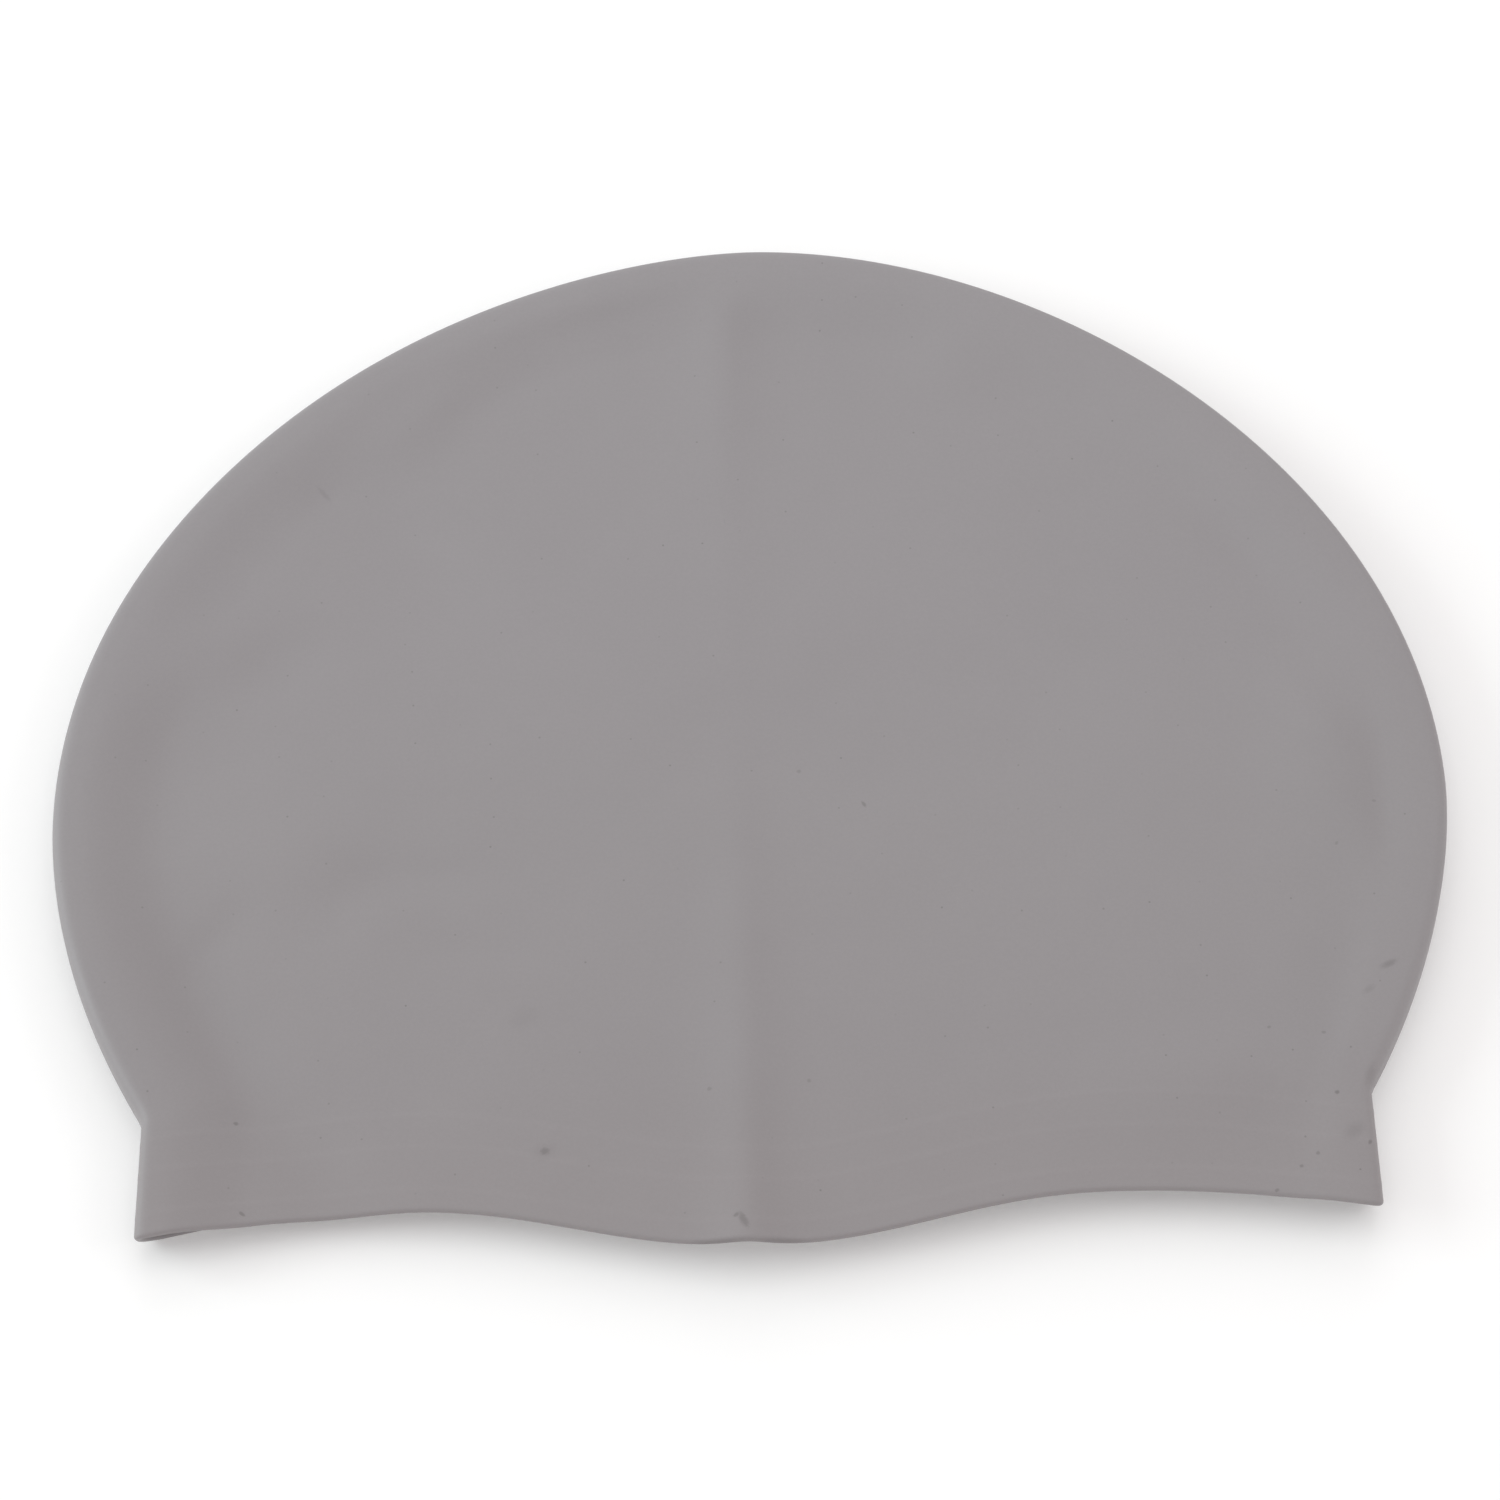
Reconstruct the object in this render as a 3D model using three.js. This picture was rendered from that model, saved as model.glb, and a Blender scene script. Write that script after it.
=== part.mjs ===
// A silicone swim cap, moulded in one piece, lying flat on its back panel.
// Millimetres, +Z up. The crown points to +Y, the rim to -Y, and the table is z = 0.
import * as THREE from 'three';
import { mergeVertices } from 'three/addons/utils/BufferGeometryUtils.js';

// Outline, seen from above
const capWidth = 225; // fold to fold along the widest line
const crownHeight = 109; // widest line up to the top of the crown
const sideDrop = 53; // widest line down to the waist
const waistWidth = 193; // fold to fold at the waist
const waistEase = 0.8; // how softly the sides turn into the hem
const hemFlare = 0.5; // how far the hem spreads on each side from the waist to the rim
const hemHeight = 21; // waist down to the corners of the rim
const rimDip = 3.5; // middle of the rim below its corners
const rimDipPlace = -0.3; // the same dip's place across, from the middle line
const rimArch = 4.45; // the two arches of the rim above its corners
const rimArchPlace = 0.57; // where the arches peak, as a share of the way to the corner
const rimCornerBend = 2; // how late the arches drop to the corners
const rimTilt = 0.8; // right corner of the rim below its middle, left corner above
const crownSway = 2.7; // lean of the top of the crown towards +X
const hemSway = 0.9; // lean of the rim towards -X
const crownPowerAcross = 1.83; // fullness of the crown's shoulders, 2 is an ellipse
const crownPowerUp = 1.965;
const sideBend = 1.9; // how late the sides turn in towards the waist
const swayBend = 8; // how late the crown starts to lean
const leftBulge = 0.6; // the left side stands out a little above the widest line
const leftBulgePlace = 0.18; // share of the quarter turn from the widest line to the crown
const leftBulgeSpan = 0.22; // the same for its half length

// Thickness, seen from the side
const foldRadius = 4.6; // outside of the folded edge round the crown
const rimFoldRadius = 4.2; // the same at the rim's corners
const leftSquareness = 4; // how square the top of the fold is on the left, 2 is round
const rightSquareness = 5.5; // the same on the right
const lowerSquareness = 2.5; // the same under both folds
const panelHeight = 7.4; // front panel above the table, halfway between the folds
const leftRollRise = 1.9; // raised roll inside the left fold, above the panel beside it
const rightRollRise = 1; // the same on the right
const rimRollShare = 0.75; // share of the rolls left at the rim
const rollSpan = 14; // width over which the roll settles into the panel
const domeWall = 0.7; // silicone of the crown and sides
const hemWall = 1.25; // silicone of the hem
const hemBlend = 3; // height over which the hem thins to the dome

// Rim and hem
const lipEase = 0.45; // rounding at both edges of the rim
const backSetback = 3.9; // back panel's rim behind the front panel's
const leftSetback = 2.8; // the same at the left corner, where the back panel shows
const leftSetbackSpan = 36; // from the left corner to the full setback
const ribRise = 0.3; // height of each rib over the hem
const ribWidth = 1.6;
const ribPlaces = [0.175, 0.52, 0.785]; // shares of the hem's height above the rim

// Crease from packing, a soft ridge down the front panel
const creaseOffset = 2.6; // from the middle line towards -X
const creaseRise = 1.3;
const creaseSpan = 6.5; // distance over which the ridge falls off
const creaseCrest = 1.6; // roundness of its crest
const creaseLeast = 0.3; // share of the ridge left halfway up the cap

// Dents and wrinkles of the front panel. The place is x as a share of half the cap's width and y
// as a share of the crown's height from the widest line. Half length and the two widths, above
// and below the wrinkle's line, are shares of half the cap's width. Turn is in degrees from +X,
// and rise is a share of the left roll's rise: below 0 is a dent.
const dents = {
  upperLeftFold: { x: -0.39, y: 0.77, long: 0.09, above: 0.031, below: 0.053, turn: 32, rise: -0.3 },
  leftShoulderNick: { x: -0.61, y: 0.57, long: 0.05, above: 0.03, below: 0.03, turn: -52, rise: -0.1 },
  leftRollGap: { x: -0.83, y: 0.34, long: 0.107, above: 0.036, below: 0.044, turn: 20, rise: 0.1 },
  leftRollBreak: { x: -0.74, y: 0.3, long: 0.107, above: 0.031, below: 0.062, turn: 27, rise: -0.35 },
  leftPanelHollow: { x: -0.58, y: -0.09, long: 0.098, above: 0.031, below: 0.08, turn: 20, rise: -0.3 },
  leftSideStreak: { x: -0.76, y: -0.14, long: 0.053, above: 0.027, below: 0.036, turn: 42, rise: -0.2 },
  rightCrownStreak: { x: 0.28, y: 0.83, long: 0.08, above: 0.031, below: 0.031, turn: 50, rise: 0.2 },
  rightCrownHollow: { x: 0.38, y: 0.79, long: 0.053, above: 0.027, below: 0.036, turn: -15, rise: -0.2 },
  rightShoulderHollow: { x: 0.71, y: 0.39, long: 0.124, above: 0.036, below: 0.07, turn: -42, rise: -0.2 },
  rightPanelHollow: { x: 0.75, y: 0.14, long: 0.107, above: 0.031, below: 0.053, turn: -35, rise: -0.3 },
  rightSideHollow: { x: 0.87, y: 0.01, long: 0.116, above: 0.031, below: 0.053, turn: 95, rise: -0.35 },
  rightWaistTuck: { x: 0.83, y: -0.45, long: 0.062, above: 0.027, below: 0.027, turn: 78, rise: -0.3 },
};

// Mesh steps
const sideRows = 8;
const crownRows = 20;
const foldSteps = 4; // steps in each quarter of the fold
const frontColumns = 13; // from the fold to the crease
const backColumns = 7;
const columnCrowding = 0.6; // 0 spaces the columns evenly
const spineReach = 0.5; // share of the crown's height where its rows meet the crease
const mergeDistance = 1e-4;

const sideLength = sideDrop + hemHeight;
const smooth = (t) => {
  const clamped = THREE.MathUtils.clamp(t, 0, 1);
  return clamped * clamped * (3 - 2 * clamped);
};
const mix = THREE.MathUtils.lerp;

// The larger of two values, rounded over where they meet
function softMax(a, b, ease) {
  const overlap = Math.max(ease - Math.abs(a - b), 0);
  return Math.max(a, b) + (overlap * overlap) / (4 * ease);
}

// Right half of the outline. A station runs from -1 at the rim's corner through 0 at the
// widest line to 1 at the top of the crown, and a little past 1 on the other side.
function outline(station) {
  if (station < 0) {
    const drop = -station * sideLength;
    const bow = ((capWidth - waistWidth) / 2) * (drop / sideDrop) ** sideBend;
    const hem = waistWidth / 2 + (hemFlare * (drop - sideDrop)) / hemHeight;
    return new THREE.Vector2(softMax(capWidth / 2 - bow, hem, waistEase), -drop);
  }
  const angle = (station * Math.PI) / 2;
  const across = Math.cos(angle);
  const reach = Math.sign(across) * Math.abs(across) ** (2 / crownPowerAcross);
  return new THREE.Vector2((capWidth / 2) * reach, crownHeight * Math.sin(angle) ** (2 / crownPowerUp));
}

// Direction that points straight out of the outline
function outward(station) {
  const step = 1e-4;
  const along = outline(station + step).sub(outline(station - step)).normalize();
  return new THREE.Vector2(along.y, -along.x);
}

// Height above the corners' level, along the side
const riseAboveRim = (station) => (1 + station) * sideLength;

// Height of the rim above its corners, at a share of the way from its dip to the corner
function rimCurve(share) {
  if (share < rimArchPlace) {
    const turn = 0.5 - 0.5 * Math.cos((Math.PI * share) / rimArchPlace);
    return mix(-rimDip, rimArch, turn);
  }
  return rimArch * (1 - ((share - rimArchPlace) / (1 - rimArchPlace)) ** rimCornerBend);
}

// How far a point below the widest line follows the wave of the rim. backShare grows from 0
// at the top of the fold to 1 on the back panel, whose rim is set back.
function waveOffset(station, x, halfWidth, backShare) {
  if (station >= 0) return 0;
  const rise = riseAboveRim(station);
  const share = Math.min(Math.abs(x - rimDipPlace) / halfWidth, 1);
  const rimHeight = rimCurve(share) - (rimTilt * x) / halfWidth;
  const wave = rimHeight * (1 - smooth((rise - hemHeight) / sideDrop));
  const reached = x < 0 ? smooth(((1 - share) * halfWidth) / leftSetbackSpan) : 1;
  const setback = mix(leftSetback, backSetback, reached) * (1 - smooth(rise / hemHeight));
  return wave + setback * backShare;
}

// Outside radius of the folded edge
const foldRadiusAt = (station) => mix(rimFoldRadius, foldRadius, smooth(1 + station));

// Wall thickness, thicker in the hem
function wallAt(station) {
  const rise = riseAboveRim(station);
  return mix(hemWall, domeWall, smooth((rise - hemHeight + hemBlend) / hemBlend));
}

// Outward height of the ribs
function ribAt(station) {
  const rise = riseAboveRim(station);
  const heights = ribPlaces.map((place) => 1 - Math.abs(rise - place * hemHeight) / (ribWidth / 2));
  return ribRise * Math.max(0, ...heights);
}

// Relief of the front panel: the crease and the dents
function frontRelief(x, y) {
  const top = crownHeight;
  const bottom = -sideLength - rimDip;
  const fromMiddle = (2 * (y - bottom)) / (top - bottom) - 1;
  const ridge = mix(creaseLeast, 1, fromMiddle * fromMiddle);
  const fromCrest = Math.hypot(x + creaseOffset, creaseCrest) - creaseCrest;
  let relief = creaseRise * ridge * Math.exp(-fromCrest / creaseSpan);
  const halfCap = capWidth / 2;
  for (const dent of Object.values(dents)) {
    const offset = new THREE.Vector2(x - dent.x * halfCap, y - dent.y * crownHeight);
    offset.rotateAround(new THREE.Vector2(), -THREE.MathUtils.degToRad(dent.turn));
    const along = offset.x / (dent.long * halfCap);
    const across = offset.y / ((offset.y > 0 ? dent.above : dent.below) * halfCap);
    relief += dent.rise * leftRollRise * Math.exp(-along * along - across * across);
  }
  return relief;
}

// Lean of the cap to one side, which grows towards the crown's top and towards the rim
function sway(y) {
  if (y > 0) return crownSway * (y / crownHeight) ** swayBend;
  return (hemSway * y) / sideLength;
}

// How far the left side stands out beyond the right side's outline
function bulgeAt(station, side) {
  if (side > 0) return 0;
  return leftBulge * Math.exp(-(((station - leftBulgePlace) / leftBulgeSpan) ** 2));
}

// Value of one side, which meets the other side's at the top of the crown
function ofSide(left, right, station, side) {
  return mix(side > 0 ? right : left, (left + right) / 2, smooth(station));
}

// One point of the cap. depth runs from 0 on the outside to 1 on the inside of the wall,
// side is 1 on the right and -1 on the left.
function shellPoint(station, column, depth, side) {
  const edge = outline(station);
  const out = outward(station);
  const radius = foldRadiusAt(station);
  const foldCentre = edge.clone().addScaledVector(out, bulgeAt(station, side) - radius);
  const wall = wallAt(station);
  const point = new THREE.Vector3();
  if (column.part === 'fold') {
    const ribShow = column.angle < 0 ? Math.cos(column.angle) : 1;
    const reach = radius + (1 - depth) * ribAt(station) * ribShow - depth * wall;
    const topSquareness = ofSide(leftSquareness, rightSquareness, station, side);
    const power = 2 / (column.angle < 0 ? lowerSquareness : topSquareness);
    const across = Math.abs(Math.cos(column.angle)) ** power;
    const up = Math.sign(column.angle) * Math.abs(Math.sin(column.angle)) ** power;
    const flat = foldCentre.clone().addScaledVector(out, reach * across);
    point.set(side * flat.x, flat.y, radius + reach * up);
    point.y += waveOffset(station, point.x, edge.x, (1 - up) / 2);
    point.x += sway(point.y);
    return point;
  }
  const spineHeight = station < 0 ? edge.y : station * spineReach * crownHeight;
  const spine = new THREE.Vector2(-creaseOffset, spineHeight);
  const start = new THREE.Vector2(side * foldCentre.x, foldCentre.y);
  const settle = smooth((column.share * start.distanceTo(spine)) / rollSpan);
  const flat = start.lerp(spine, column.share);
  point.set(flat.x, flat.y, 0);
  point.y += waveOffset(station, point.x, edge.x, column.part === 'back' ? 1 : 0);
  if (column.part === 'front') {
    const rise = ofSide(leftRollRise, rightRollRise, station, side);
    const roll = rise * mix(rimRollShare, 1, smooth(1 + station));
    const panel = mix(2 * radius - roll, panelHeight, smooth(column.share));
    const top = mix(panel + roll, panel, settle) + settle * frontRelief(point.x, point.y);
    point.z = top + (1 - depth) * ribAt(station) - depth * wall;
  } else {
    const lift = ribRise * settle * (1 - smooth((riseAboveRim(station) - hemHeight) / hemBlend));
    point.z = lift - (1 - depth) * ribAt(station) * settle + depth * wall;
  }
  point.x += sway(point.y);
  return point;
}

// Stations from the rim to the top of the crown, with three at each rib
function stationList() {
  const rises = [lipEase];
  for (const place of ribPlaces) {
    for (const step of [-1, 0, 1]) rises.push(place * hemHeight + (step * ribWidth) / 2);
  }
  rises.push(hemHeight);
  for (let row = 1; row < sideRows; row++) rises.push(hemHeight + (sideDrop * row) / sideRows);
  const stations = rises.map((rise) => rise / sideLength - 1);
  for (let row = 0; row <= crownRows; row++) stations.push(row / crownRows);
  return stations;
}

// Columns of one half, from the crease on the front round the fold to the back.
// Panel columns crowd towards the fold and the crease.
function columnList() {
  const crowd = (t) => t - (columnCrowding * Math.sin(2 * Math.PI * t)) / (2 * Math.PI);
  const columns = [];
  for (let i = frontColumns; i >= 0; i--) columns.push({ part: 'front', share: crowd(i / frontColumns) });
  for (let i = foldSteps - 1; i > -foldSteps; i--) {
    columns.push({ part: 'fold', angle: (i * Math.PI) / (2 * foldSteps) });
  }
  for (let i = 0; i <= backColumns; i++) columns.push({ part: 'back', share: crowd(i / backColumns) });
  return columns;
}

// Rings from the top of the crown down the outside, round the lip and up the inside
function ringList() {
  const stations = stationList();
  const outside = stations.toReversed().map((station) => ({ station, depth: 0 }));
  const inside = stations.map((station) => ({ station, depth: 1 }));
  const lipDepth = lipEase / hemWall;
  const lip = [lipDepth, 1 - lipDepth].map((depth) => ({ station: -1, depth }));
  return [...outside, ...lip, ...inside];
}

function capGeometry() {
  const rings = ringList();
  const columns = columnList();
  const positions = [];
  const faces = [];
  for (const side of [1, -1]) {
    const first = positions.length / 3;
    for (const ring of rings) {
      for (const column of columns) {
        positions.push(...shellPoint(ring.station, column, ring.depth, side));
      }
    }
    for (let row = 0; row < rings.length - 1; row++) {
      for (let i = 0; i < columns.length - 1; i++) {
        const a = first + row * columns.length + i;
        const b = a + 1;
        const c = b + columns.length;
        const d = a + columns.length;
        if (side > 0) faces.push(a, d, b, b, d, c);
        else faces.push(a, b, d, b, c, d);
      }
    }
  }
  const geometry = new THREE.BufferGeometry();
  geometry.setAttribute('position', new THREE.Float32BufferAttribute(positions, 3));
  geometry.setIndex(faces);
  return mergeVertices(geometry, mergeDistance);
}

const silicone = new THREE.MeshStandardMaterial({ color: 0x999496, roughness: 0.55, metalness: 0 });
const shape = capGeometry();
const cap = new THREE.Mesh(shape, silicone);
cap.name = 'cap_shell';

// The middle of the cap's width and length stands over the origin
shape.computeBoundingBox();
const middle = shape.boundingBox.getCenter(new THREE.Vector3());
cap.position.set(-middle.x, -middle.y, 0);

const group = new THREE.Group();
group.add(cap);
export default group;
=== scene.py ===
import math

import bmesh
import bpy
import numpy as np
from mathutils import Euler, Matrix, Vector


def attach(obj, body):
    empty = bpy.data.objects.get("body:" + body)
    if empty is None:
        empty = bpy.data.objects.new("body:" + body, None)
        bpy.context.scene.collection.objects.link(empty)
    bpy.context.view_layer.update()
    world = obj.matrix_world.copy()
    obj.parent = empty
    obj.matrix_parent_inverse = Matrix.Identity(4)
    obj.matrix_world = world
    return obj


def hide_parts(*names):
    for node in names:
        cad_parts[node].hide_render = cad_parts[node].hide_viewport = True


# A grey silicone swim cap lying flat on its back panel, in metres. The crown points to +Y,
# the rim to -Y, +Z is up and the floor is z = 0.

mm = 0.001
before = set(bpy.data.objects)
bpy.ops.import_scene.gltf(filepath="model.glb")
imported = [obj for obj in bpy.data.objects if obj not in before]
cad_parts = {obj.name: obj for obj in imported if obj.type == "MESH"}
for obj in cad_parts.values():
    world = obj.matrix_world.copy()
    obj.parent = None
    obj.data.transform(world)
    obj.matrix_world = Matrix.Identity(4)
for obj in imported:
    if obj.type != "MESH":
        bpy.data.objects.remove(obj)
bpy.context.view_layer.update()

# Camera, at the photograph's angle above the floor
view = {
    "elevation": 60.03,  # degrees above the floor
    "distance": 0.9,
    "width": 0.24475,  # seen across the picture at the cap
    "target": (0.000525, -0.00297, 0.004),  # on the cap, a little above the floor
    "roll": 1.995,  # degrees, the cap is turned this far against the clock
    "sensor": 36,
}


def makeCamera():
    data = bpy.data.cameras.new("camera")
    data.sensor_width = view["sensor"]
    data.lens = view["sensor"] * view["distance"] / view["width"]
    camera = bpy.data.objects.new("camera", data)
    bpy.context.scene.collection.objects.link(camera)
    elevation = math.radians(view["elevation"])
    back = Vector((0, -math.cos(elevation), math.sin(elevation)))
    camera.location = Vector(view["target"]) + back * view["distance"]
    upright = (-back).to_track_quat("-Z", "Y")
    camera.rotation_mode = "QUATERNION"
    camera.rotation_quaternion = upright @ Euler((0, 0, -math.radians(view["roll"]))).to_quaternion()
    bpy.context.scene.camera = camera


makeCamera()
print("camera made")


# Sizes of the cap, in millimetres
capSize = {
    "width": 225,  # fold to fold along the widest line
    "crownHeight": 109,  # widest line up to the top of the crown
    "sideDrop": 53,  # widest line down to the waist
    "waistWidth": 193,
    "waistEase": 0.8,  # roundness of the corner where the side meets the hem
    "hemFlare": 0.5,  # how much further out the rim's corner is than the waist
    "hemHeight": 21,
    "rimDip": 3.5,  # middle of the rim below its corners
    "rimDipPlace": -0.3,  # lowest point of the rim, from the middle
    "rimArch": 4.45,  # the two arches of the rim above its corners
    "rimArchPlace": 0.57,  # top of each arch, as a share of half the width
    "rimCornerBend": 2,  # how late an arch falls to its corner
    "rimTilt": 0.8,  # right corner below the middle, left corner above it
    "crownSway": 2.7,  # top of the crown to the right
    "hemSway": 0.9,  # rim to the left
    "crownPowerAcross": 1.83,  # 2 in both makes the crown an ellipse
    "crownPowerUp": 1.965,
    "sideBend": 1.9,  # how late the side turns in towards the waist
    "swayBend": 8,  # how late the crown leans
    "foldRadius": 4.6,  # half the thickness of the folded edge
    "rimFoldRadius": 4.2,
    "foldSquareness": {"left": 4, "right": 5.5, "below": 2.5},  # 2 is a round fold
    "leftBulge": 0.6,  # the left fold stands out this far
    "leftBulgePlace": 0.18,  # station of its middle
    "leftBulgeSpan": 0.22,
    "panelHeight": 7.4,  # top of the front panel in the middle
    "rollRise": {"left": 2.7, "right": 1.0},  # roll inside the fold, above the panel
    "rimRollRise": {"left": 2.1, "right": 0.9},
    "rollSpan": 14,  # width over which the roll falls to the panel
    "domeWall": 0.7,
    "hemWall": 1.25,
    "hemBlend": 3,
    "backSetback": 3.9,  # back panel's rim behind the front panel's
    "leftSetback": 2.8,  # the same at the left corner
    "leftSetbackSpan": 36,
    "ribRise": 0.035,
    "ribWidth": 1.6,
    "ribPlaces": (0.175, 0.52, 0.785),  # shares of the hem's height above the rim
    "spineOffset": 2.6,  # line where the two halves of the mesh meet
    "creaseOffset": 2.1,
    "creaseLean": 0.005,  # the ridge leans this share of the height towards -X
    "creaseRise": {"rim": 2.2, "middle": 0.2, "crown": 2.4},
    "creaseBend": {"rim": 1.0, "crown": 2.8},  # how late the ridge rises towards each end
    "creaseSpan": {"left": 3.9, "right": 3.7},  # distance over which the ridge falls off
    "creaseCrest": 4.0,  # roundness of the ridge
    "spineReach": 0.5,  # share of the crown's height that the seam's end reaches
}
sideLength = capSize["sideDrop"] + capSize["hemHeight"]
middleUp = (sideLength + capSize["rimDip"] - capSize["crownHeight"]) / 2

# Rows and columns of the mesh
meshSteps = {
    "hemRows": 66,
    "sideRows": 40,
    "crownRows": 74,
    "insideSkip": 2,  # the inside takes every second row
    "lipSteps": 8,
    "foldSteps": 10,  # in each quarter of the fold
    "frontColumns": 64,
    "backColumns": 22,
    "crowding": 0.6,  # how closely the columns crowd at the fold and the crease
    "merge": 0.002,  # points nearer than this are joined, in millimetres
}

# Wrinkles of the front panel. Places are millimetres from the middle of the cap and turn is in
# degrees from +X. Each falls off over one width above its line and another below it. Rise is
# in millimetres: below 0 is a dent.
wrinkles = {
    "crown edge fold": dict(x=-25, y=81, long=18, above=4, below=4, turn=15, rise=-1.1),
    "left crown swell": dict(x=-54, y=62, long=12, above=8, below=6, turn=45, rise=1.2),
    "left shoulder nick painted shade": dict(x=-69, y=47, long=3, above=1, below=1, turn=-50, rise=-0.2),
    "left shoulder line": dict(x=-66, y=43, long=4, above=1, below=1, turn=-60, rise=-0.15),
    "left shoulder hollow": dict(x=-53, y=33, long=17, above=8, below=8, turn=-50, rise=-0.75),
    "left shoulder swell": dict(x=-86, y=29, long=22, above=8, below=8, turn=45, rise=0.8),
    "left roll swell": dict(x=-90, y=16, long=21, above=8, below=8, turn=25, rise=1.1),
    "left roll break": dict(x=-77, y=15, long=8, above=6, below=6, turn=10, rise=-0.7),
    "left side hollow": dict(x=-87, y=-3, long=10, above=8, below=6, turn=-15, rise=-0.55),
    "middle panel swell": dict(x=-19, y=-10, long=22, above=8, below=8, turn=-35, rise=1.1),
    "left panel swell": dict(x=-74, y=-23, long=17, above=8, below=8, turn=-20, rise=0.75),
    "left panel tail": dict(x=-53, y=-26, long=10, above=4, below=6, turn=-5, rise=-0.95),
    "left panel hollow": dict(x=-64, y=-28, long=13, above=7, below=6, turn=45, rise=-0.65),
    "left side streak": dict(x=-86, y=-36, long=8, above=3, below=6, turn=55, rise=-0.5),
    "left panel line": dict(x=-43, y=-39, long=13, above=8, below=4, turn=-10, rise=-0.6),
    "left lower fold": dict(x=-84, y=-53, long=19, above=5, below=7, turn=-65, rise=-1.1),
    "left hem fold": dict(x=-69, y=-78, long=22, above=8, below=8, turn=-70, rise=-1.3),
    "right crown streak": dict(x=41, y=76, long=13, above=6, below=7, turn=50, rise=0.75),
    "right shoulder hollow": dict(x=86, y=32, long=22, above=3, below=8, turn=-50, rise=-1.1),
    "right side swell": dict(x=95, y=-12, long=15, above=7, below=8, turn=-65, rise=1.5),
    "right side line": dict(x=98, y=-16, long=22, above=3, below=3, turn=-45, rise=-0.55),
    "right side hollow": dict(x=103, y=-21, long=22, above=3, below=8, turn=90, rise=-1.1),
    "right waist hollow": dict(x=92, y=-61, long=20, above=4, below=2, turn=75, rise=-1),
    "right waist tuck": dict(x=93, y=-64, long=7, above=3, below=3, turn=80, rise=-0.7),
    "right hem swell": dict(x=67, y=-68, long=18, above=8, below=8, turn=5, rise=1.1),
    "middle hem hollow": dict(x=0, y=-75, long=15, above=8, below=8, turn=-30, rise=-1.1),
}

# Gentle waves over the whole front panel, in millimetres
swell = {"seed": 7, "count": 14, "shortest": 16, "longest": 46, "rise": 0.035}


def smooth(t):
    clamped = np.clip(t, 0, 1)
    return clamped * clamped * (3 - 2 * clamped)


def mix(a, b, t):
    return a + (b - a) * t


# Right half of the outline. A station runs from -1 at the rim's corner through 0 at the
# widest line to 1 at the top of the crown.
def outline(station):
    size = capSize
    drop = np.maximum(-station, 0) * sideLength
    bow = (size["width"] - size["waistWidth"]) / 2 * (drop / size["sideDrop"]) ** size["sideBend"]
    side = size["width"] / 2 - bow
    hem = size["waistWidth"] / 2 + size["hemFlare"] * (drop - size["sideDrop"]) / size["hemHeight"]
    overlap = np.maximum(size["waistEase"] - np.abs(side - hem), 0)
    low = np.maximum(side, hem) + overlap ** 2 / (4 * size["waistEase"])
    angle = np.maximum(station, 0) * math.pi / 2
    across = np.cos(angle)
    high = size["width"] / 2 * np.sign(across) * np.abs(across) ** (2 / size["crownPowerAcross"])
    up = size["crownHeight"] * np.sin(angle) ** (2 / size["crownPowerUp"])
    return np.where(station < 0, low, high), np.where(station < 0, -drop, up)


def outward(station):
    step = 1e-4
    farX, farY = outline(station + step)
    nearX, nearY = outline(station - step)
    alongX, alongY = farX - nearX, farY - nearY
    length = np.hypot(alongX, alongY)
    return alongY / length, -alongX / length


# How far a point below the widest line follows the wave of the rim
def waveOffset(station, x, halfWidth, backShare):
    size = capSize
    rise = (1 + station) * sideLength
    share = np.minimum(np.abs(x - size["rimDipPlace"]) / halfWidth, 1)
    turn = 0.5 - 0.5 * np.cos(math.pi * share / size["rimArchPlace"])
    late = np.maximum(share - size["rimArchPlace"], 0) / (1 - size["rimArchPlace"])
    arch = np.where(
        share < size["rimArchPlace"],
        mix(-size["rimDip"], size["rimArch"], turn),
        size["rimArch"] * (1 - late ** size["rimCornerBend"]),
    )
    fade = 1 - smooth((rise - size["hemHeight"]) / size["sideDrop"])
    wave = (arch - size["rimTilt"] * x / halfWidth) * fade
    reached = np.where(x < 0, smooth((1 - share) * halfWidth / size["leftSetbackSpan"]), 1)
    setback = mix(size["leftSetback"], size["backSetback"], reached) * (1 - smooth(rise / size["hemHeight"]))
    return np.where(station < 0, wave + setback * backShare, 0)


def ribShare(rise):
    size = capSize
    share = 0
    for place in size["ribPlaces"]:
        away = (rise - place * size["hemHeight"]) / (size["ribWidth"] / 2)
        share = share + np.exp(-away * away * 2)
    return share


def makeSwell():
    rng = np.random.default_rng(swell["seed"])
    waves = []
    for _ in range(swell["count"]):
        length = rng.uniform(swell["shortest"], swell["longest"])
        heading = rng.uniform(0, math.pi)
        waves.append((
            2 * math.pi / length * math.cos(heading),
            2 * math.pi / length * math.sin(heading),
            rng.uniform(0, 2 * math.pi),
            swell["rise"] * length / swell["longest"],
        ))
    return waves


swellWaves = makeSwell()


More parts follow.
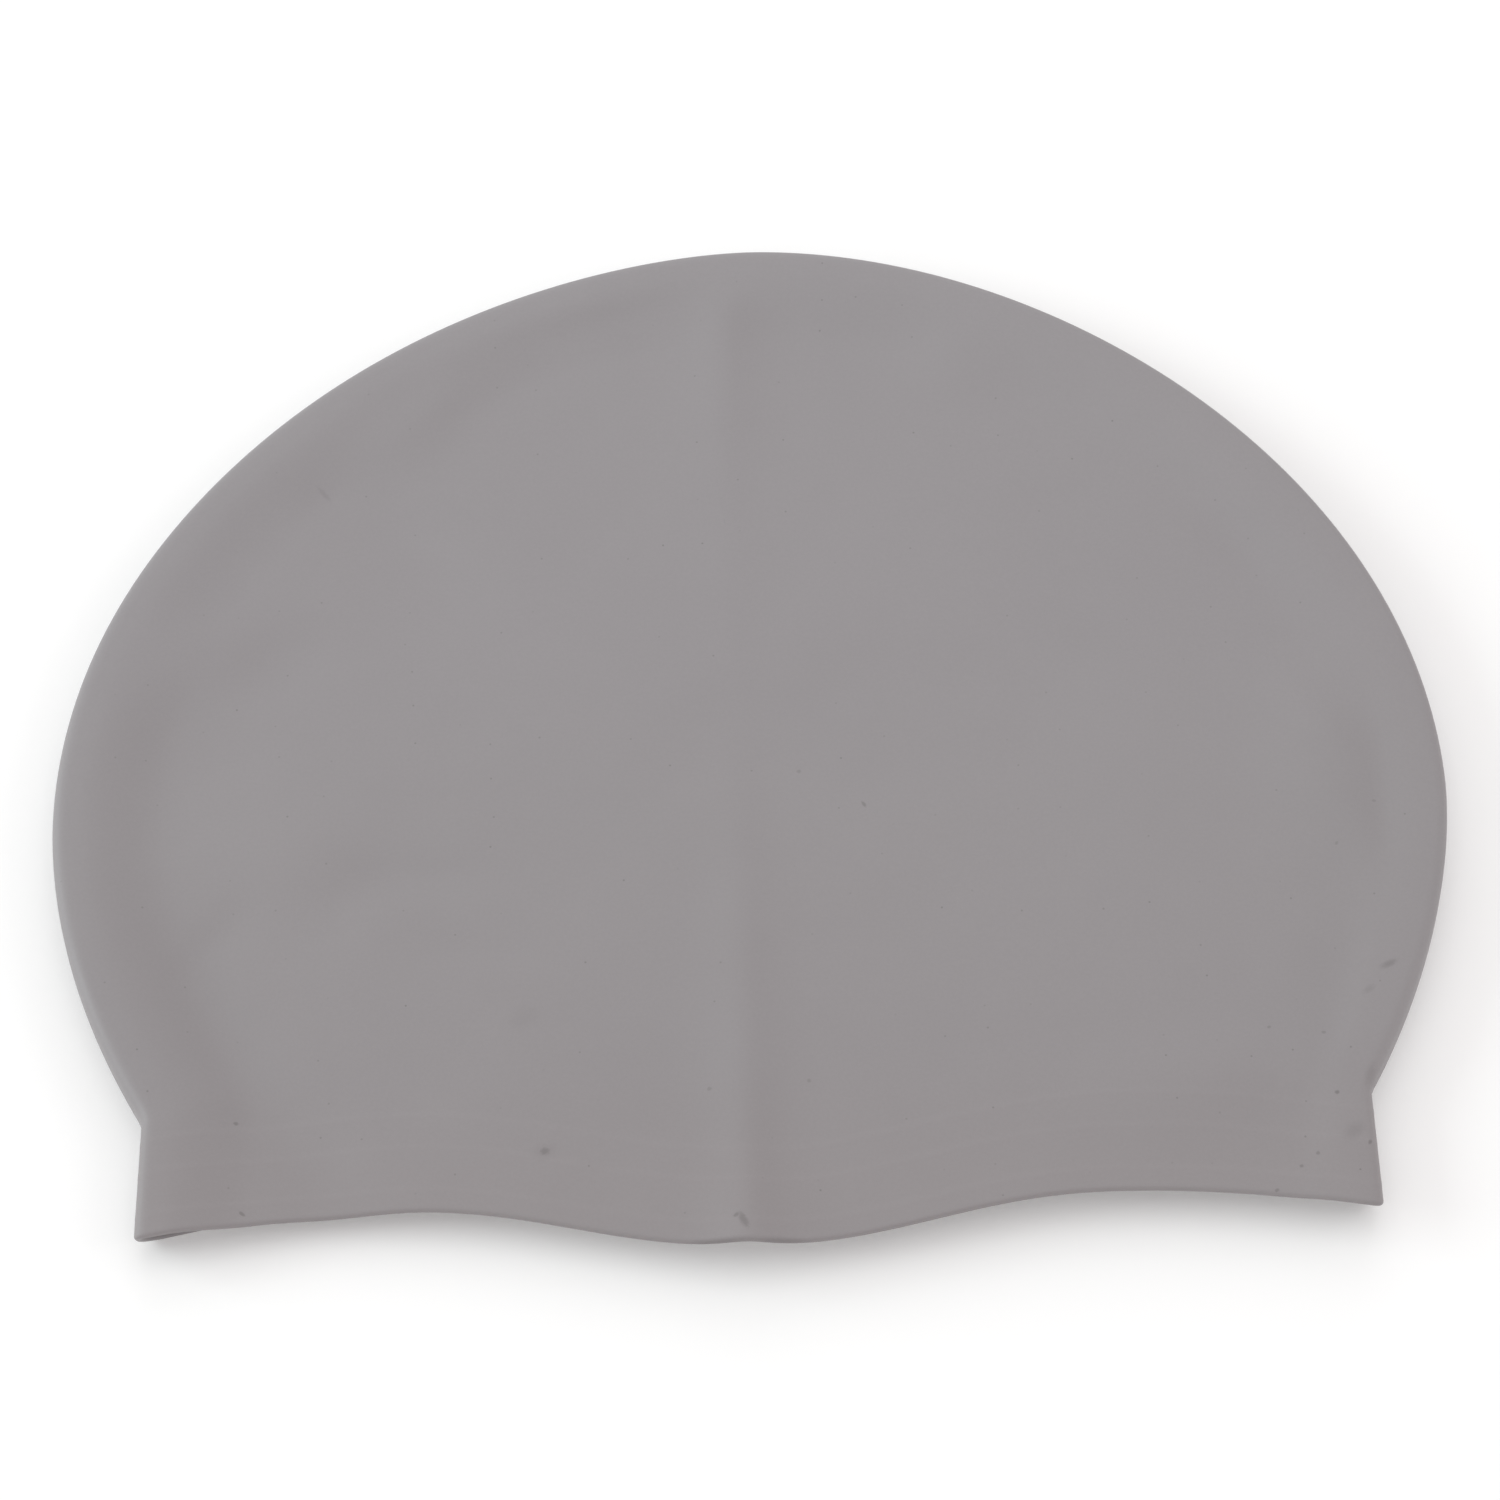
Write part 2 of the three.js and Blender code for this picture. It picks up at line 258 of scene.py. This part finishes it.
# Relief of the front panel: the crease, the wrinkles and the gentle waves
def frontRelief(x, y):
    size = capSize
    top, bottom = size["crownHeight"], -sideLength - size["rimDip"]
    fromMiddle = 2 * (y - bottom) / (top - bottom) - 1
    rise, bend, span = size["creaseRise"], size["creaseBend"], size["creaseSpan"]
    toRim = mix(rise["middle"], rise["rim"], np.abs(fromMiddle) ** bend["rim"])
    toCrown = mix(rise["middle"], rise["crown"], np.abs(fromMiddle) ** bend["crown"])
    fromRidge = x + size["creaseOffset"] + size["creaseLean"] * y
    away = np.hypot(fromRidge, size["creaseCrest"]) - size["creaseCrest"]
    ridge = np.exp(-away / np.where(fromRidge < 0, span["left"], span["right"]))
    relief = np.where(fromMiddle < 0, toRim, toCrown) * ridge
    for wrinkle in wrinkles.values():
        turn = math.radians(wrinkle["turn"])
        dx, dy = x - wrinkle["x"], y + middleUp - wrinkle["y"]
        along = (dx * math.cos(turn) + dy * math.sin(turn)) / wrinkle["long"]
        across = dy * math.cos(turn) - dx * math.sin(turn)
        across = across / np.where(across > 0, wrinkle["above"], wrinkle["below"])
        relief = relief + wrinkle["rise"] * np.exp(-along ** 2 - across ** 2)
    for waveX, waveY, phase, rise in swellWaves:
        relief = relief + rise * np.sin(waveX * x + waveY * y + phase)
    return relief


# A value of the left or right side, which meet at the top of the crown
def ofSide(values, side, station):
    middle = (values["left"] + values["right"]) / 2
    own = values["right" if side > 0 else "left"]
    return mix(own, middle, smooth(station))


# Points of one side of the cap for each ring and column. depth runs from 0 on the outside to
# 1 on the inside of the wall, side is 1 on the right and -1 on the left.
def shellPoints(stations, depths, columns, side):
    size = capSize
    station = np.array(stations)[:, None]
    depth = np.array(depths)[:, None]
    kind = np.array([column[0] for column in columns])[None, :]
    value = np.array([column[1] for column in columns])[None, :]
    rise = (1 + station) * sideLength
    edgeX, edgeY = outline(station)
    outX, outY = outward(station)
    radius = mix(size["rimFoldRadius"], size["foldRadius"], smooth(1 + station))
    away = (station - size["leftBulgePlace"]) / size["leftBulgeSpan"]
    bulge = size["leftBulge"] * np.exp(-away * away) if side < 0 else 0
    centreX = edgeX + outX * (bulge - radius)
    centreY = edgeY + outY * (bulge - radius)
    thin = smooth((rise - size["hemHeight"] + size["hemBlend"]) / size["hemBlend"])
    wall = mix(size["hemWall"], size["domeWall"], thin)
    rib = size["ribRise"] * ribShare(rise) * (1 - depth)

    # folded edge
    angle = value
    squareness = size["foldSquareness"]
    power = np.where(angle < 0, squareness["below"], ofSide(squareness, side, station))
    across = np.abs(np.cos(angle)) ** (2 / power)
    up = np.sign(angle) * np.abs(np.sin(angle)) ** (2 / power)
    reach = radius + rib * np.where(angle < 0, np.cos(angle), 1) - depth * wall
    foldX = side * (centreX + outX * reach * across)
    foldY = centreY + outY * reach * across
    foldZ = radius + reach * up
    foldY = foldY + waveOffset(station, foldX, edgeX, (1 - up) / 2)

    # front and back panels
    share = value
    spineY = np.where(station < 0, edgeY, station * size["spineReach"] * size["crownHeight"])
    reachX, reachY = -size["spineOffset"] - side * centreX, spineY - centreY
    flatX = side * centreX + reachX * share
    flatY = centreY + reachY * share
    settle = smooth(share * np.hypot(reachX, reachY) / size["rollSpan"])
    flatY = flatY + waveOffset(station, flatX, edgeX, np.where(kind == "back", 1, 0))
    rimRoll = ofSide(size["rimRollRise"], side, station)
    roll = mix(rimRoll, ofSide(size["rollRise"], side, station), smooth(1 + station))
    panel = mix(2 * radius - roll, size["panelHeight"], smooth(share))
    relief = settle * frontRelief(flatX, flatY)
    frontZ = mix(panel + roll, panel, settle) + relief + rib - depth * wall
    lift = size["ribRise"] * settle * (1 - smooth((rise - size["hemHeight"]) / size["hemBlend"]))
    backZ = lift - rib * settle + depth * wall

    x = np.where(kind == "fold", foldX, flatX)
    y = np.where(kind == "fold", foldY, flatY)
    z = np.where(kind == "fold", foldZ, np.where(kind == "front", frontZ, backZ))
    lean = np.where(
        y > 0,
        size["crownSway"] * (np.maximum(y, 0) / size["crownHeight"]) ** size["swayBend"],
        size["hemSway"] * y / sideLength,
    )
    return np.stack([x + lean, y + middleUp, z], axis=-1) * mm


def ringList():
    size, steps = capSize, meshSteps
    lipRadius = size["hemWall"] / 2
    hem = np.linspace(lipRadius, size["hemHeight"], steps["hemRows"]) / sideLength - 1
    side = np.linspace(size["hemHeight"], sideLength, steps["sideRows"] + 1)[1:] / sideLength - 1
    crown = np.linspace(0, 1, steps["crownRows"] + 1)[1:]
    stations = np.concatenate([hem, side, crown])
    thinned = np.concatenate([stations[:-1:steps["insideSkip"]], stations[-1:]])
    rings = [(station, 0) for station in stations[::-1]]
    for step in range(1, steps["lipSteps"]):
        turn = math.pi * step / steps["lipSteps"]
        rings.append((lipRadius * (1 - math.sin(turn)) / sideLength - 1, (1 - math.cos(turn)) / 2))
    rings += [(station, 1) for station in thinned]
    return rings


def columnList():
    steps = meshSteps

    def crowd(t):
        return t - steps["crowding"] * math.sin(2 * math.pi * t) / (2 * math.pi)

    columns = [("front", crowd(i / steps["frontColumns"])) for i in range(steps["frontColumns"], -1, -1)]
    quarter = steps["foldSteps"]
    columns += [("fold", i * math.pi / (2 * quarter)) for i in range(quarter - 1, -quarter, -1)]
    columns += [("back", crowd(i / steps["backColumns"])) for i in range(steps["backColumns"] + 1)]
    return columns


def makeCap():
    rings, columns = ringList(), columnList()
    stations = [ring[0] for ring in rings]
    depths = [ring[1] for ring in rings]
    wide = len(columns)
    points, faces = [], []
    for side in (1, -1):
        first = len(points) * len(rings) * wide
        points.append(shellPoints(stations, depths, columns, side).reshape(-1, 3))
        ringSteps, columnSteps = np.arange(len(rings) - 1), np.arange(wide - 1)
        row, column = np.meshgrid(ringSteps, columnSteps, indexing="ij")
        a = first + row * wide + column
        b, d = a + 1, a + wide
        c = d + 1
        order = (a, d, c, b) if side > 0 else (a, b, c, d)
        faces.append(np.stack(order, axis=-1).reshape(-1, 4))
    points = np.concatenate(points)
    points[:, :2] -= (points.min(0) + points.max(0))[:2] / 2
    mesh = bpy.data.meshes.new("cap")
    mesh.from_pydata(points.tolist(), [], np.concatenate(faces).tolist())
    rises = (1 + np.array(stations)) * sideLength
    ribShares = np.where(np.array(depths) == 0, ribShare(rises), 0)
    ribLayer = mesh.attributes.new("rib", "FLOAT", "POINT")
    ribLayer.data.foreach_set("value", np.tile(np.repeat(ribShares, wide), 2).astype(np.float32))
    work = bmesh.new()
    work.from_mesh(mesh)
    bmesh.ops.remove_doubles(work, verts=work.verts, dist=meshSteps["merge"] * mm)
    bmesh.ops.recalc_face_normals(work, faces=work.faces)
    work.to_mesh(mesh)
    work.free()
    cap = bpy.data.objects.new("siliconeCap", mesh)
    bpy.context.scene.collection.objects.link(cap)
    mesh.shade_smooth()
    return cap


cap = makeCap()
print("cap built with", len(cap.data.polygons), "faces")


# Small helpers for materials
class Nodes:
    def __init__(self, tree):
        self.tree = tree

    def add(self, kind, values=None, **settings):
        node = self.tree.nodes.new("ShaderNode" + kind)
        for name, value in settings.items():
            setattr(node, name, value)
        for name, value in (values or {}).items():
            if isinstance(value, bpy.types.NodeSocket):
                self.tree.links.new(value, node.inputs[name])
            else:
                node.inputs[name].default_value = value
        return node

    def maths(self, operation, a, b):
        return self.add("Math", {0: a, 1: b}, operation=operation).outputs[0]

    def vector(self, operation, a, b):
        return self.add("VectorMath", {0: a, 1: b}, operation=operation).outputs["Vector"]

    # value from one range of numbers to another
    def spread(self, value, start, to, **settings):
        sockets = {"Value": value, "From Min": start[0], "From Max": start[1]}
        sockets.update({"To Min": to[0], "To Max": to[1]})
        return self.add("MapRange", sockets, **settings).outputs[0]

    # two numbers added, with this share of the first
    def mixed(self, a, b, share):
        return self.maths("ADD", self.maths("MULTIPLY", a, share), self.maths("MULTIPLY", b, 1 - share))

    def noise(self, point, grain):
        sockets = {"Scale": grain["scale"], "Detail": grain["detail"], "Roughness": grain["roughness"]}
        return self.add("TexNoise", {"Vector": point, **sockets})

    # colour made darker or paler by a number
    def toned(self, colour, number):
        grey = self.add("CombineColor", {"Red": number, "Green": number, "Blue": number}).outputs[0]
        return self.blend(1, colour, grey, "MULTIPLY")

    def blend(self, factor, a, b, way="MIX"):
        node = self.add("Mix", data_type="RGBA", blend_type=way)
        for name, value in (("Factor_Float", factor), ("A_Color", a), ("B_Color", b)):
            socket = next(one for one in node.inputs if one.identifier == name)
            if isinstance(value, bpy.types.NodeSocket):
                self.tree.links.new(value, socket)
            else:
                socket.default_value = value
        return next(one for one in node.outputs if one.identifier == "Result_Color")

    def group(self, tree, values):
        return self.add("Group", values, node_tree=tree)

    def link(self, a, b):
        self.tree.links.new(a, b)


def makeGroup(name, inputs, outputs):
    tree = bpy.data.node_groups.new(name, "ShaderNodeTree")
    for socketName, kind, value in inputs:
        socket = tree.interface.new_socket(socketName, in_out="INPUT", socket_type="NodeSocket" + kind)
        if value is not None:
            socket.default_value = value
    for socketName, kind in outputs:
        tree.interface.new_socket(socketName, in_out="OUTPUT", socket_type="NodeSocket" + kind)
    nodes = Nodes(tree)
    inside = tree.nodes.new("NodeGroupInput").outputs
    result = tree.nodes.new("NodeGroupOutput").inputs
    return tree, nodes, inside, result


# One stain, speck or patch of painted shade: an oval with a ragged edge, seen from above
def makeSpotGroup():
    tree, nodes, given, result = makeGroup(
        "spot",
        [
            ("Point", "Vector", None),
            ("Ragged", "Vector", None),
            ("Place", "Vector", (0, 0, 0)),
            ("Turn", "Float", 0),
            ("Length", "Float", 0.001),
            ("Width", "Float", 0.001),
            ("Softness", "Float", 0.5),
            ("Strength", "Float", 0.5),
        ],
        [("Mask", "Float")],
    )
    moved = nodes.vector("SUBTRACT", given["Point"], given["Place"])
    turned = nodes.add("VectorRotate", {"Vector": moved, "Angle": given["Turn"]}, rotation_type="Z_AXIS")
    size = nodes.add("CombineXYZ", {"X": given["Length"], "Y": given["Width"], "Z": 1}).outputs[0]
    shares = nodes.vector("DIVIDE", turned.outputs[0], size)
    flat = nodes.vector("MULTIPLY", shares, (1, 1, 0))
    rough = nodes.vector("ADD", flat, given["Ragged"])
    away = nodes.add("VectorMath", {0: rough}, operation="LENGTH").outputs["Value"]
    near = nodes.maths("SUBTRACT", 1, given["Softness"])
    far = nodes.maths("ADD", 1, given["Softness"])
    fade = nodes.spread(away, (near, far), (given["Strength"], 0), interpolation_type="SMOOTHSTEP")
    nodes.link(fade, result["Mask"])
    return tree


# Sparse fine specks of dust pressed into the surface
def makeDustGroup():
    tree, nodes, given, result = makeGroup(
        "dust",
        [
            ("Point", "Vector", None),
            ("Spacing", "Float", 0.008),
            ("Size", "Float", 0.0002),
            ("Amount", "Float", 0.3),
        ],
        [("Mask", "Float")],
    )
    scale = nodes.maths("DIVIDE", 1, given["Spacing"])
    sockets = {"Vector": given["Point"], "Scale": scale, "Randomness": 1}
    cells = nodes.add("TexVoronoi", sockets, voronoi_dimensions="2D")
    size = nodes.maths("MULTIPLY", given["Size"], scale)
    core = nodes.maths("MULTIPLY", size, 0.5)
    inside = nodes.spread(cells.outputs["Distance"], (core, size), (1, 0), interpolation_type="SMOOTHSTEP")
    picks = nodes.add("SeparateColor", {"Color": cells.outputs["Color"]})
    kept = nodes.maths("LESS_THAN", picks.outputs[0], given["Amount"])
    shown = nodes.maths("MULTIPLY", inside, kept)
    nodes.link(nodes.maths("MULTIPLY", shown, picks.outputs[1]), result["Mask"])
    return tree


# Stains, specks and patches of painted shade, in millimetres. Length and width are from the middle to the
# edge.
# Strength is how much of the dark colour shows.
spots = {
    "dark spot": dict(x=-33.7, y=-75.7, length=0.75, width=0.6, turn=10, soft=0.7, strength=0.34),
    "dark spot halo": dict(x=-33.7, y=-75.7, length=1.6, width=1.1, turn=15, soft=0.9, strength=0.08),
    "faint smudge": dict(x=-36.6, y=-52.2, length=2.2, width=1.6, turn=20, soft=0.9, strength=0.05),
    "lint": dict(x=-80.9, y=-84.3, length=0.55, width=0.25, turn=-40, soft=0.4, strength=0.35),
    "left hem speck": dict(x=-82.1, y=-68.6, length=0.35, width=0.3, turn=0, soft=0.5, strength=0.35),
    "teardrop": dict(x=-3, y=-89.7, length=1.3, width=0.55, turn=-65, soft=0.6, strength=0.3),
    "teardrop speck": dict(x=-4.1, y=-88.8, length=0.5, width=0.3, turn=40, soft=0.5, strength=0.3),
    "right scuff": dict(x=100.4, y=-48.8, length=1.3, width=0.5, turn=25, soft=0.7, strength=0.25),
    "right scuff tail": dict(x=96.9, y=-53.1, length=1, width=0.5, turn=30, soft=0.8, strength=0.14),
    "panel speck": dict(x=18.6, y=-15.8, length=0.6, width=0.25, turn=-60, soft=0.5, strength=0.3),
    "right hem speck a": dict(x=90.4, y=-70.9, length=0.35, width=0.3, turn=0, soft=0.5, strength=0.4),
    "right hem speck b": dict(x=86.6, y=-81.1, length=0.3, width=0.3, turn=0, soft=0.5, strength=0.3),
    "right hem speck c": dict(x=83.9, y=-83.1, length=0.3, width=0.25, turn=0, soft=0.5, strength=0.3),
    "right hem speck d": dict(x=79.8, y=-87, length=0.35, width=0.25, turn=30, soft=0.5, strength=0.3),
    "right hem speck e": dict(x=94.8, y=-79.7, length=0.4, width=0.25, turn=60, soft=0.5, strength=0.35),
    "right hem smudge": dict(x=92.5, y=-77.7, length=1.6, width=1, turn=40, soft=0.8, strength=0.12),
    # painted shade: these three patches stand in for shade on the inner slope of the right fold, at the right
    # waist and on the right panel
    "right side painted shade": dict(x=97, y=-20, length=18, width=8, turn=80, soft=0.95, strength=0.035),
    "right waist painted shade": dict(x=91, y=-50, length=13, width=6, turn=72, soft=0.95, strength=0.03),
    "right panel painted shade": dict(x=56, y=14, length=8, width=4.5, turn=-35, soft=0.95, strength=0.02),
    # painted shade: thin dark strips along the lip's edge, where shade falls under the rounded lip
    "lip painted shade left": dict(x=-8, y=-93, length=5.5, width=0.55, turn=0, soft=0.8, strength=0.22),
    "lip painted shade right": dict(x=2.5, y=-93.1, length=3.5, width=0.5, turn=2, soft=0.8, strength=0.2),
    # painted shade in the crease of the small pinch at the right waist
    "waist crease painted shade": dict(x=95.9, y=-68.1, length=1.8, width=0.7, turn=75, soft=0.8, strength=0.12),
    # painted shade along the shallow nick at the left shoulder
    "shoulder nick painted shade": dict(x=-69.1, y=47.3, length=1.4, width=0.35, turn=-50, soft=0.8, strength=0.12),
    "right side speck a": dict(x=80.7, y=-58.8, length=0.3, width=0.25, turn=0, soft=0.5, strength=0.25),
    "right side speck b": dict(x=89.2, y=-60.1, length=0.35, width=0.25, turn=0, soft=0.5, strength=0.25),
    "right side speck c": dict(x=94, y=-26.5, length=0.35, width=0.25, turn=60, soft=0.5, strength=0.22),
    "right side speck d": dict(x=100.6, y=-19.1, length=0.35, width=0.25, turn=0, soft=0.5, strength=0.22),
    "middle speck": dict(x=8.3, y=-9.3, length=0.35, width=0.3, turn=0, soft=0.5, strength=0.22),
    "crease speck": dict(x=-7.7, y=-66.1, length=0.35, width=0.3, turn=0, soft=0.5, strength=0.2),
    "hem middle speck": dict(x=8, y=-65.3, length=0.3, width=0.3, turn=0, soft=0.5, strength=0.2),
}

# Colours are linear, lengths in the dust and the skin are millimetres
siliconeLook = {
    "colour": (0.288, 0.273, 0.282, 1),
    "paler": (0.295, 0.28, 0.289, 1),
    "noises": {
        "broad": dict(scale=28, detail=2, roughness=0.45),
        "middling": dict(scale=130, detail=3, roughness=0.5),
        "fine": dict(scale=1900, detail=2, roughness=0.6),
        "ragged": dict(scale=2600, detail=2, roughness=0.6),
    },
    "mottle": {"broadShare": 0.6, "range": (0.35, 0.65)},
    # painted shade: these steps darken the colour towards the rim, partly for the hem's own tint and partly
    # as shade
    "tintAndShadeSteps": [  # shares of the colour from the rim to the crown, y in mm
        {"y": -82, "tone": (0.952, 0.932, 0.922, 1)},
        {"y": -62, "tone": (0.96, 0.95, 0.945, 1)},
        {"y": -18, "tone": (0.975, 0.97, 0.965, 1)},
        {"y": 20, "tone": (0.985, 0.98, 0.98, 1)},
        {"y": 90, "tone": (1.005, 1.005, 1.005, 1)},
    ],
    # painted highlight: the ribs are painted paler to stand in for light on their crests
    "ribPaintedHighlight": 0.014,  # how much paler the ribs are
    "grain": {"range": (0.3, 0.7), "depth": 0.016},
    # the dark colour of the stains, also used for the patches of painted shade
    "stainAndShadeColour": (0.06, 0.052, 0.05, 1),
    # ragged edges for the stains and the patches of painted shade alike
    "stainAndShadeEdge": 0.9,  # how ragged the stains' edges are
    "dust": {"spacing": 7, "size": 0.22, "amount": 0.35, "strength": 0.35},
    "roughness": 0.52,
    "uneven": 0.04,  # roughness either way
    "skin": {"strength": 0.25, "depth": 0.06, "fineShare": 0.4},
    "ior": 1.41,
}


# A little darker and warmer towards the thick hem: partly the hem's own tint, partly painted shade for the
# light falling off towards the rim
def tintAndPaintedShadeAlong(nodes, point, colour):
    tintAndShadeSteps = siliconeLook["tintAndShadeSteps"]
    first, last = tintAndShadeSteps[0]["y"], tintAndShadeSteps[-1]["y"]
    along = nodes.add("SeparateXYZ", {"Vector": point}).outputs["Y"]
    ramp = nodes.add("ValToRGB", {"Fac": nodes.spread(along, (first * mm, last * mm), (0, 1))})
    stops = ramp.color_ramp.elements
    while len(stops) < len(tintAndShadeSteps):
        stops.new(0.5)
    for stop, tone in zip(stops, tintAndShadeSteps):
        stop.position = (tone["y"] - first) / (last - first)
        stop.color = tone["tone"]
    return nodes.blend(1, colour, ramp.outputs["Color"], "MULTIPLY")


# Where a stain, a speck, dust or a patch of painted shade shows, and how strongly
def stainAndShadeMask(nodes, point):
    look = siliconeLook
    ragged = nodes.noise(point, look["noises"]["ragged"]).outputs["Color"]
    shifted = nodes.vector("SUBTRACT", ragged, (0.5, 0.5, 0.5))
    bumpy = nodes.vector("MULTIPLY", shifted, (look["stainAndShadeEdge"], look["stainAndShadeEdge"], 0))
    dust = look["dust"]
    values = {
        "Point": point,
        "Spacing": dust["spacing"] * mm,
        "Size": dust["size"] * mm,
        "Amount": dust["amount"],
    }
    specks = nodes.group(makeDustGroup(), values).outputs["Mask"]
    mask = nodes.maths("MULTIPLY", specks, dust["strength"])
    tree = makeSpotGroup()
    for spot in spots.values():
        values = {
            "Point": point,
            "Ragged": bumpy,
            "Place": (spot["x"] * mm, spot["y"] * mm, 0),
            "Turn": -math.radians(spot["turn"]),
            "Length": spot["length"] * mm,
            "Width": spot["width"] * mm,
            "Softness": spot["soft"],
            "Strength": spot["strength"],
        }
        mask = nodes.maths("MAXIMUM", mask, nodes.group(tree, values).outputs["Mask"])
    return mask


def makeSilicone():
    material = bpy.data.materials.new("silicone")
    material.use_nodes = True
    material.node_tree.nodes.clear()
    nodes = Nodes(material.node_tree)
    look = siliconeLook
    point = nodes.add("TexCoord").outputs["Object"]

    # mottling: broad, middling and fine
    noises, mottle, grain = look["noises"], look["mottle"], look["grain"]
    broad = nodes.noise(point, noises["broad"]).outputs["Fac"]
    middling = nodes.noise(point, noises["middling"]).outputs["Fac"]
    fine = nodes.noise(point, noises["fine"]).outputs["Fac"]
    patches = nodes.mixed(broad, middling, mottle["broadShare"])
    colour = nodes.blend(nodes.spread(patches, mottle["range"], (0, 1)), look["colour"], look["paler"])

    # tint with painted shade towards the rim, ribs painted paler as a painted highlight, and a grain of a
    # percent or so either way
    colour = tintAndPaintedShadeAlong(nodes, point, colour)
    rib = nodes.add("Attribute", attribute_name="rib").outputs["Fac"]
    colour = nodes.toned(colour, nodes.maths("ADD", nodes.maths("MULTIPLY", rib, look["ribPaintedHighlight"]), 1))
    grainTone = nodes.spread(fine, grain["range"], (1 - grain["depth"], 1 + grain["depth"]))
    colour = nodes.toned(colour, grainTone)
    # stains, specks and dust, with the patches of painted shade in the same dark colour
    colour = nodes.blend(stainAndShadeMask(nodes, point), colour, look["stainAndShadeColour"])

    # satin, a little uneven, with a very fine skin
    satin = (look["roughness"] - look["uneven"], look["roughness"] + look["uneven"])
    skin = look["skin"]
    height = nodes.mixed(fine, middling, skin["fineShare"])
    bump = nodes.add("Bump", {"Strength": skin["strength"], "Distance": skin["depth"] * mm, "Height": height})
    shader = nodes.add("BsdfPrincipled", {
        "Base Color": colour,
        "Roughness": nodes.spread(middling, grain["range"], satin),
        "IOR": look["ior"],
        "Normal": bump.outputs[0],
    })
    output = nodes.add("OutputMaterial")
    nodes.link(shader.outputs[0], output.inputs["Surface"])
    return material


cap.data.materials.append(makeSilicone())
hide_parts("cap_shell")
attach(cap, "root")
print("silicone made")


# A plain pale floor, in metres
floorLook = {
    "width": 6,
    "colour": (0.86, 0.86, 0.86, 1),
    "roughness": 0.9,
    "glow": (1, 1, 1, 1),
    "glowStrength": 0.15,
}


def makeFloor():
    look = floorLook
    bpy.ops.mesh.primitive_plane_add(size=look["width"], location=(0, 0, 0))
    floor = bpy.context.active_object
    floor.name = "floor"
    material = bpy.data.materials.new("floor")
    material.use_nodes = True
    shader = material.node_tree.nodes["Principled BSDF"]
    shader.inputs["Base Color"].default_value = look["colour"]
    shader.inputs["Roughness"].default_value = look["roughness"]
    shader.inputs["Emission Color"].default_value = look["glow"]
    shader.inputs["Emission Strength"].default_value = look["glowStrength"]
    floor.data.materials.append(material)


makeFloor()

# Soft light, strongest from the left, and a warm glow all round
lights = [
    {"name": "window", "place": (-1.5, 0.2, 0.6), "size": 1.0, "power": 12.5, "colour": (0.9, 1, 1)},
    {"name": "right wall", "place": (1.5, 0, 0.8), "size": 1.2, "power": 4.6, "colour": (1, 1, 1)},
    {"name": "ceiling", "place": (0, 0.1, 1.6), "size": 1.4, "power": 2.5, "colour": (0.95, 1, 1)},
    {"name": "back wall", "place": (0.1, 1.5, 0.8), "size": 1.2, "power": 3.0, "colour": (0.95, 1, 1)},
]
glow = {"colour": (1, 0.965, 0.96, 1), "strength": 0.72}


def makeLights():
    for light in lights:
        data = bpy.data.lights.new(light["name"], "AREA")
        data.shape = "SQUARE"
        data.size = light["size"]
        data.energy = light["power"]
        data.color = light["colour"]
        lamp = bpy.data.objects.new(light["name"], data)
        lamp.location = light["place"]
        lamp.rotation_mode = "QUATERNION"
        lamp.rotation_quaternion = (-Vector(light["place"])).to_track_quat("-Z", "Y")
        bpy.context.scene.collection.objects.link(lamp)
    world = bpy.data.worlds.new("glow")
    world.use_nodes = True
    background = world.node_tree.nodes["Background"]
    background.inputs["Color"].default_value = glow["colour"]
    background.inputs["Strength"].default_value = glow["strength"]
    bpy.context.scene.world = world
    bpy.context.scene.view_settings.view_transform = "Standard"


makeLights()
print("floor and lights made")
